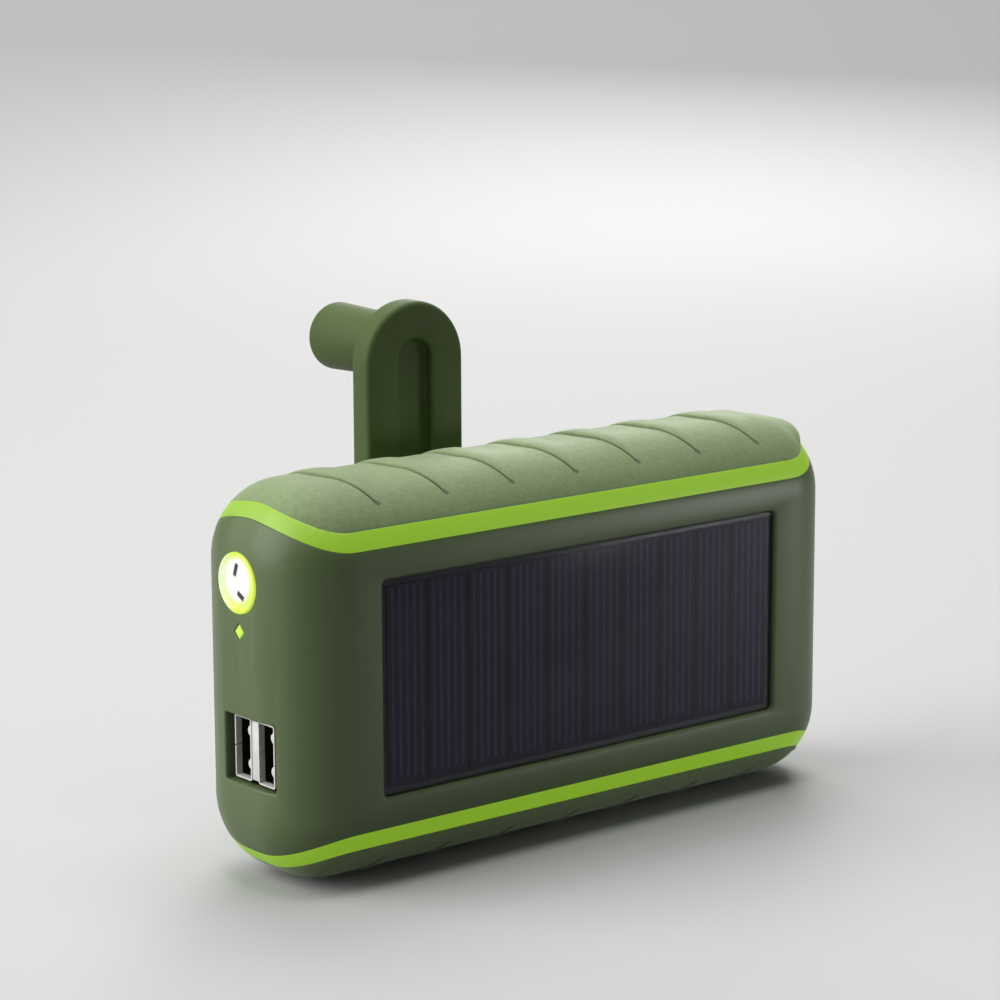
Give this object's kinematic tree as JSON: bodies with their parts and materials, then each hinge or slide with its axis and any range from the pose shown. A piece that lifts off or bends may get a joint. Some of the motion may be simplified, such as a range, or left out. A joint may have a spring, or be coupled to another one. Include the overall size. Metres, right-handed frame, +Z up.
{
  "type": "hand crank generator",
  "caption": "Hand crank power bank with a fold-out crank, a solar panel, an end torch and stacked USB-A ports in a ribbed, rounded case.",
  "frame": {"origin": "centre of the flat land of the middle rib under the case, on the surface that the case stands on, below the middle of its length and depth", "axes": "+X along the case, away from the torch and USB end; +Y out of the back, where the crank is; -Y out of the solar face; +Z up"},
  "size_m": [0.1514, 0.0708, 0.1124],
  "materials": {
    "olive_case": "smooth satin moulded plastic, dark olive green",
    "olive_grip": "grained soft-touch rubber, olive green",
    "lime_band": "smooth satin lime green",
    "olive_crank": "satin moulded plastic, olive green",
    "solar_blue": "near-black blue silicon with fine silver fingers",
    "circuit_green": "solder-masked glass fibre",
    "black_laminate": "black solder-masked glass fibre",
    "clear_resin": "clear glossy resin",
    "torch_lens": "clear moulded lens",
    "lime_clear": "translucent lime green",
    "chrome": "mirror",
    "white_plastic": "white",
    "steel": "bright nickel-plated steel",
    "black_plastic": "satin black",
    "gold": "bright gold plating",
    "silver_pack": "wrapped foil pouch",
    "foam": "black foam",
    "gear_white": "natural acetal",
    "plate_steel": "zinc-plated sheet",
    "bush_brass": "turned brass",
    "copper": "enamelled copper winding",
    "magnet": "nickel-plated magnet"
  },
  "bodies": {
    "case": {"front_case": "olive_case", "back_cover": "olive_case", "top_grip": "olive_grip", "bottom_grip": "olive_grip", "top_accent_band": "lime_band", "bottom_accent_band": "lime_band", "solar_board": "black_laminate", "solar_cells": "solar_blue", "solar_cover": "clear_resin", "torch_bezel": "lime_clear", "torch_lens": "torch_lens", "torch_reflector": "chrome", "torch_led": "white_plastic", "indicator_lens": "lime_clear", "usb_shells": "steel", "usb_tongues": "black_plastic", "usb_contacts": "gold", "main_board": "circuit_green", "board_components": "black_plastic", "board_screws": "steel", "battery_pack": "silver_pack", "battery_pad": "foam", "switch_board": "circuit_green", "power_switch": "black_plastic", "micro_usb_socket": "steel", "gearbox_front_plate": "plate_steel", "gearbox_rear_plate": "plate_steel", "gearbox_spacers": "steel", "gearbox_screws": "steel", "generator_bracket": "plate_steel", "hub_bush": "bush_brass", "gear_axles": "steel", "generator_can": "plate_steel", "generator_winding": "copper", "case_screws": "steel"},
    "crank": {"crank_hub": "olive_crank", "crank_shaft": "steel", "drive_gear": "gear_white", "hinge_pin": "steel"},
    "arm": {"crank_arm": "olive_crank", "knob_screw": "steel"},
    "knob": {"knob": "olive_crank", "knob_cap": "olive_crank"},
    "idler_one": {"idler_gear_one": "gear_white"},
    "idler_two": {"idler_gear_two": "gear_white"},
    "rotor": {"generator_rotor": "magnet", "generator_pinion": "bush_brass"},
    "button": {"power_button": "olive_grip"}
  },
  "joints": [
    {"name": "crank_spin", "type": "hinge", "parent": "case", "child": "crank", "pos_m": [-0.0138, 0.0122, 0.0548], "axis": [0, 1, 0], "continuous": true},
    {"name": "arm_fold", "type": "hinge", "parent": "crank", "child": "arm", "pos_m": [-0.0138, 0.0203, 0.0628], "axis": [-1, 0, 0], "range_deg": [0, 135]},
    {"name": "knob_spin", "type": "hinge", "parent": "arm", "child": "knob", "pos_m": [-0.0138, 0.03885, 0.102], "axis": [0, 1, 0], "continuous": true},
    {"name": "idler_one_spin", "type": "hinge", "parent": "case", "child": "idler_one", "pos_m": [0.00446, 0.003, 0.04991], "axis": [0, 1, 0], "continuous": true},
    {"name": "idler_two_spin", "type": "hinge", "parent": "case", "child": "idler_two", "pos_m": [0.02068, 0.0017, 0.05426], "axis": [0, 1, 0], "continuous": true},
    {"name": "rotor_spin", "type": "hinge", "parent": "case", "child": "rotor", "pos_m": [0.03748, 0.008, 0.05426], "axis": [0, 1, 0], "continuous": true},
    {"name": "button_press", "type": "slide", "parent": "case", "child": "button", "axis": [-1, 0, 0], "range_m": [0, 0.0008], "stiffness_N_per_m": 1200, "springref_m": -0.0005}
  ],
  "couplings": [
    {"joint": "idler_one_spin", "follows": "crank_spin", "ratio": -3.5},
    {"joint": "idler_two_spin", "follows": "crank_spin", "ratio": 10.5},
    {"joint": "rotor_spin", "follows": "crank_spin", "ratio": -31.5}
  ]
}
